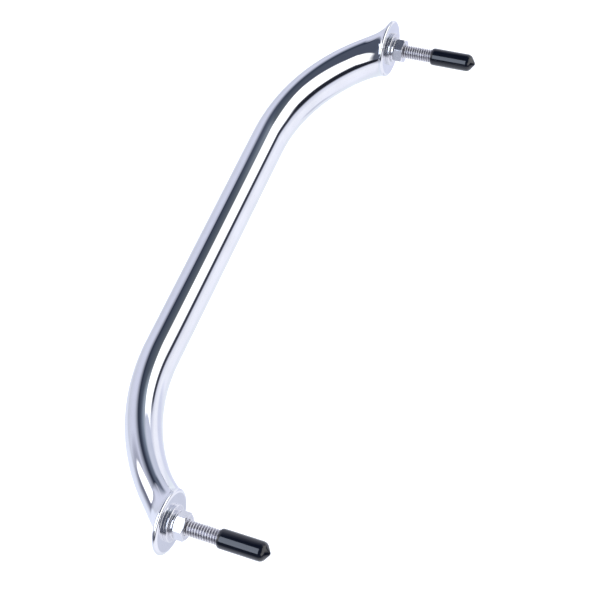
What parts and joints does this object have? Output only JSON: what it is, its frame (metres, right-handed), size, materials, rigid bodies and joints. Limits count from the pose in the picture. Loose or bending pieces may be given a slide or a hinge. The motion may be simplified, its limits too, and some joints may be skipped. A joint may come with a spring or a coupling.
{
  "type": "grab rail",
  "caption": "Bow-shaped grab rail of polished oval tube on round base flanges, with threaded studs, flat and split washers, hex nuts and soft black end caps.",
  "frame": {"origin": "on the mounting face, midway between the two stud axes", "axes": "+Y out of the mounting face along the studs, so the grip is on the -Y side; +X along the rail; +Z across the tube, up on a horizontal rail fixed to a bulkhead"},
  "size_m": [0.3534, 0.107, 0.0334],
  "materials": {
    "polished_steel": "mirror-polished stainless steel",
    "plain_steel": "bright drawn and pressed stainless steel",
    "black_vinyl": "glossy soft vinyl"
  },
  "bodies": {
    "rail": {"grip_tube": "polished_steel", "base_flange_left": "polished_steel", "base_flange_right": "polished_steel", "tube_weld_left": "polished_steel", "tube_weld_right": "polished_steel", "stud_left": "plain_steel", "stud_right": "plain_steel", "stud_weld_left": "polished_steel", "stud_weld_right": "polished_steel"},
    "washer_left": {"flat_washer_left": "plain_steel"},
    "lock_left": {"lock_washer_left": "plain_steel"},
    "nut_left": {"hex_nut_left": "plain_steel"},
    "cap_left": {"end_cap_left": "black_vinyl"},
    "washer_right": {"flat_washer_right": "plain_steel"},
    "lock_right": {"lock_washer_right": "plain_steel"},
    "nut_right": {"hex_nut_right": "plain_steel"},
    "cap_right": {"end_cap_right": "black_vinyl"}
  },
  "joints": [
    {"name": "washer_travel_left", "type": "slide", "parent": "rail", "child": "washer_left", "axis": [0, 1, 0], "range_m": [0, 0.00776]},
    {"name": "nut_travel_left", "type": "slide", "parent": "rail", "child": "lock_left", "axis": [0, 1, 0], "range_m": [0, 0.01552]},
    {"name": "nut_turn_left", "type": "hinge", "parent": "lock_left", "child": "nut_left", "pos_m": [-0.16, 0, 0], "axis": [0, 1, 0], "range_deg": [0, 3960]},
    {"name": "cap_pull_left", "type": "slide", "parent": "rail", "child": "cap_left", "axis": [0, 1, 0], "range_m": [0, 0.045]},
    {"name": "washer_travel_right", "type": "slide", "parent": "rail", "child": "washer_right", "axis": [0, 1, 0], "range_m": [0, 0.00776]},
    {"name": "nut_travel_right", "type": "slide", "parent": "rail", "child": "lock_right", "axis": [0, 1, 0], "range_m": [0, 0.01552]},
    {"name": "nut_turn_right", "type": "hinge", "parent": "lock_right", "child": "nut_right", "pos_m": [0.16, 0, 0], "axis": [0, 1, 0], "range_deg": [0, 3960]},
    {"name": "cap_pull_right", "type": "slide", "parent": "rail", "child": "cap_right", "axis": [0, 1, 0], "range_m": [0, 0.045]}
  ],
  "couplings": [
    {"joint": "nut_travel_left", "follows": "nut_turn_left", "m_per_rad": 0.00022457},
    {"joint": "washer_travel_left", "follows": "nut_turn_left", "m_per_rad": 0.00011228},
    {"joint": "nut_travel_right", "follows": "nut_turn_right", "m_per_rad": 0.00022457},
    {"joint": "washer_travel_right", "follows": "nut_turn_right", "m_per_rad": 0.00011228}
  ]
}
